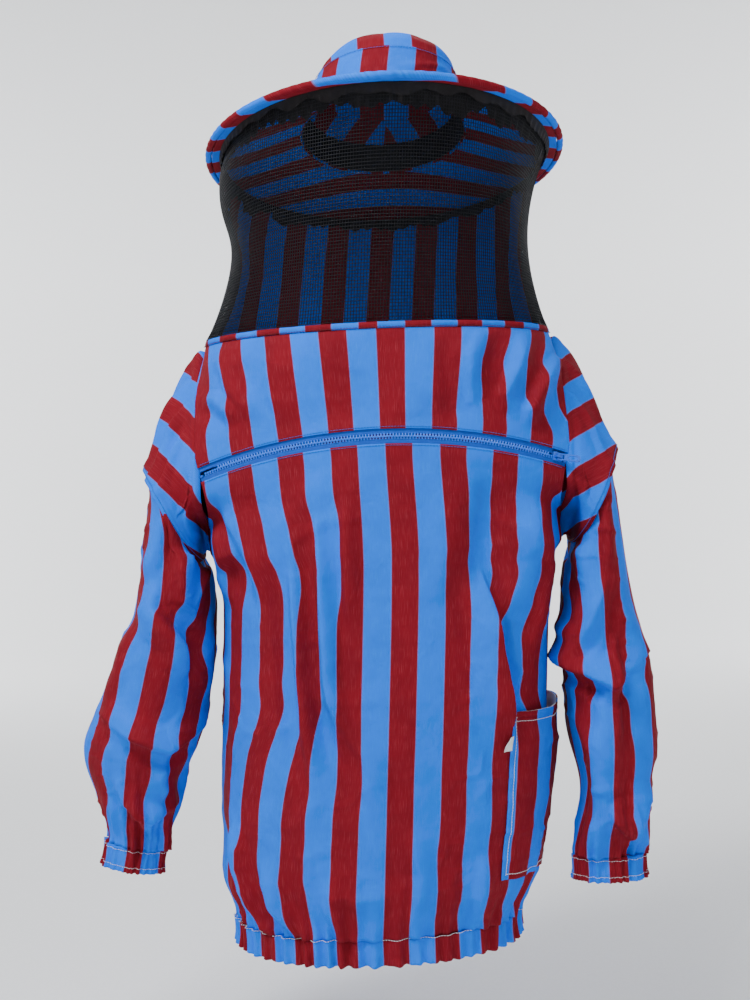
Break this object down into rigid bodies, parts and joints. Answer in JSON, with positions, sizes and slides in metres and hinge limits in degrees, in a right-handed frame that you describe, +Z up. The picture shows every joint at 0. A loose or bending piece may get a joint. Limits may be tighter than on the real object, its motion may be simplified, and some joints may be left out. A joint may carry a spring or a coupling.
{
  "type": "beekeeping jacket",
  "caption": "Striped cotton beekeeping jacket with elastic hem and cuffs, hip pocket, chest zip, and an attached round hat whose net veil and yoke fold back once the zip is open.",
  "frame": {"origin": "centre of the collar seam, at the base of the wearer's neck", "axes": "+Z up the wearer's neck, -Y out of the jacket's front, +X to the wearer's left"},
  "size_m": [0.6376, 0.4022, 1.0226],
  "materials": {
    "striped_cotton": "plain woven cotton, printed or woven in azure and claret stripes",
    "black_net": "square-mesh black tulle",
    "black_band": "black woven tape",
    "white_elastic": "woven elastic",
    "brim_board": "flexible brim sheet",
    "hoop_wire": "spring steel hoop",
    "zip_tape": "woven blue zip tape",
    "zip_teeth": "moulded blue teeth",
    "blue_enamel": "die-cast, blue enamel",
    "white_lining": "white woven cotton"
  },
  "bodies": {
    "torso": {"torso_front": "striped_cotton", "torso_back": "striped_cotton", "shoulder_left": "striped_cotton", "shoulder_right": "striped_cotton", "sleeve_left": "striped_cotton", "sleeve_right": "striped_cotton", "cuff_casing_left": "striped_cotton", "cuff_casing_right": "striped_cotton", "cuff_elastic_left": "white_elastic", "cuff_elastic_right": "white_elastic", "hem_casing": "striped_cotton", "hem_elastic": "white_elastic", "hip_pocket": "striped_cotton", "pocket_mouth_facing": "white_lining", "pocket_tag": "white_lining", "zip_tape_lower": "zip_tape", "zip_teeth_lower": "zip_teeth", "zip_stop_left": "blue_enamel", "zip_stop_right": "blue_enamel"},
    "hood": {"front_yoke": "striped_cotton", "collar_welt": "striped_cotton", "zip_tape_upper": "zip_tape", "zip_teeth_upper": "zip_teeth", "veil_front_net": "black_net", "veil_back_panel": "striped_cotton", "veil_side_band_left": "black_band", "veil_side_band_right": "black_band", "veil_gather_band": "black_net", "brim_upper_cloth": "striped_cotton", "brim_under_cloth": "striped_cotton", "brim_stiffener": "brim_board", "brim_wire": "hoop_wire", "brim_binding": "striped_cotton", "crown_wall": "striped_cotton", "crown_top": "striped_cotton", "sweatband": "black_band"},
    "zip_slider": {"zip_slider": "blue_enamel"},
    "zip_pull": {"zip_pull": "blue_enamel"}
  },
  "joints": [
    {"name": "hood_fold_back", "type": "hinge", "parent": "torso", "child": "hood", "pos_m": [0, 0.13, 0], "axis": [-1, 0, 0], "range_deg": [0, 140]},
    {"name": "zip_slider_travel", "type": "hinge", "parent": "torso", "child": "zip_slider", "pos_m": [0, 0.17423, -0.32658], "axis": [0, -0.5592, -0.829], "range_deg": [0, 60.2]},
    {"name": "zip_pull_swing", "type": "hinge", "parent": "zip_slider", "child": "zip_pull", "pos_m": [0.18879, -0.09744, -0.14563], "axis": [-0.2122, -0.2038, -0.9557], "range_deg": [0, 125]}
  ]
}
